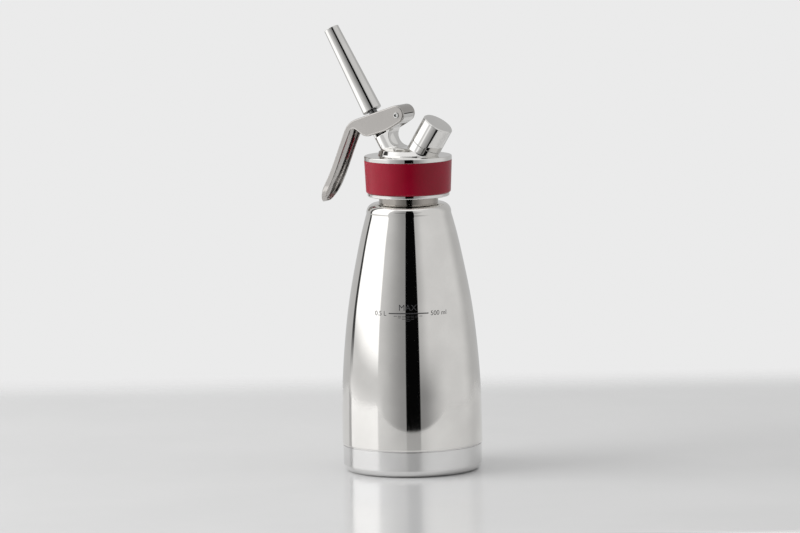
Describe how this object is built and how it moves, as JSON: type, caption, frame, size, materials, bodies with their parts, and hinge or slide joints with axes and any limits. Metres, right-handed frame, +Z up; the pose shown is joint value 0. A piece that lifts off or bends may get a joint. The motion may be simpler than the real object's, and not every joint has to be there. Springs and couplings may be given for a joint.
{
  "type": "whipped cream dispenser",
  "caption": "Half-litre double-walled steel cream flask with a screwed head, valve lever, long tapered nozzle, red silicone grip band and a capped gas charger port.",
  "frame": {"origin": "centre of the ring foot that it stands on, on the flask's axis", "axes": "+Z up along the flask's axis, nozzle and lever towards -X, charger port towards +X"},
  "size_m": [0.1188, 0.0992, 0.3135],
  "materials": {
    "polished_steel": null,
    "flask_steel": "stainless steel, plain drawn surface",
    "satin_steel": "stainless steel, bright satin polish",
    "polished_head": "cast stainless steel, polished",
    "polished_cap": "turned stainless steel, polished",
    "lever_steel": "cast stainless steel, fine satin",
    "nozzle_steel": "turned stainless steel, fine brushed",
    "valve_steel": "turned stainless steel",
    "port_steel": "turned stainless steel",
    "pin_steel": "hardened stainless steel",
    "spring_steel": "drawn spring wire",
    "red_silicone": "matte silicone rubber, crimson",
    "clear_silicone": "silicone rubber, milky",
    "black_rubber": "nitrile rubber, black",
    "seal_glass": "fused sealing glass",
    "getter_powder": "pressed getter metal",
    "sintered_bronze": "sintered bronze"
  },
  "bodies": {
    "bottle": {"outer_shell": "polished_steel", "inner_flask": "flask_steel", "neck_ring": "flask_steel", "jacket_bottom": "flask_steel", "vacuum_seal": "seal_glass", "getter_disc": "getter_powder", "base_cup": "satin_steel"},
    "gasket": {"head_gasket": "clear_silicone"},
    "head": {"head_body": "polished_head", "grip_band": "red_silicone", "lever_pin": "pin_steel", "valve_spring": "spring_steel", "charger_port": "port_steel", "gas_filter": "sintered_bronze", "piercing_pin": "pin_steel", "charger_gasket": "clear_silicone", "check_valve": "black_rubber"},
    "lever": {"lever": "lever_steel"},
    "spindle": {"valve_spindle": "valve_steel", "spindle_o_rings": "black_rubber", "valve_seal": "black_rubber", "seal_washer": "valve_steel", "seal_nut": "valve_steel"},
    "nozzle_washer": {"nozzle_seal": "clear_silicone"},
    "nozzle": {"nozzle": "nozzle_steel"},
    "cap_washer": {"cap_liner": "clear_silicone"},
    "cap": {"port_cap": "polished_cap"}
  },
  "joints": [
    {"name": "head_lift", "type": "slide", "parent": "bottle", "child": "gasket", "axis": [0, 0, 1], "range_m": [0, 0.01]},
    {"name": "head_turn", "type": "hinge", "parent": "gasket", "child": "head", "pos_m": [0, 0, 0.2], "axis": [0, 0, 1], "range_deg": [0, 901]},
    {"name": "lever_pivot", "type": "hinge", "parent": "head", "child": "lever", "pos_m": [-0.004, 0, 0.2517], "axis": [0, -1, 0], "range_deg": [0, 10], "stiffness_Nm_per_rad": 0.8, "springref_deg": -8.59},
    {"name": "spindle_slide", "type": "slide", "parent": "head", "child": "spindle", "axis": [0.4939, 0, -0.8695], "range_m": [0, 0.0035], "deforming": ["valve_spring"]},
    {"name": "nozzle_lift", "type": "slide", "parent": "spindle", "child": "nozzle_washer", "axis": [-0.4939, 0, 0.8695], "range_m": [0, 0.006]},
    {"name": "nozzle_turn", "type": "hinge", "parent": "nozzle_washer", "child": "nozzle", "pos_m": [-0.02964, 0, 0.25597], "axis": [-0.4939, 0, 0.8695], "range_deg": [0, 1081]},
    {"name": "cap_lift", "type": "slide", "parent": "head", "child": "cap_washer", "axis": [0.5388, 0, 0.8425], "range_m": [0, 0.0065]},
    {"name": "cap_turn", "type": "hinge", "parent": "cap_washer", "child": "cap", "pos_m": [0.0194, 0, 0.23733], "axis": [0.5388, 0, 0.8425], "range_deg": [0, 781]}
  ],
  "couplings": [
    {"joint": "head_turn", "follows": "head_lift", "rad_per_m": 1570.8},
    {"joint": "lever_pivot", "follows": "spindle_slide", "rad_per_m": 49.55},
    {"joint": "nozzle_turn", "follows": "nozzle_lift", "rad_per_m": 3141.6},
    {"joint": "cap_turn", "follows": "cap_lift", "rad_per_m": 2094.4}
  ]
}
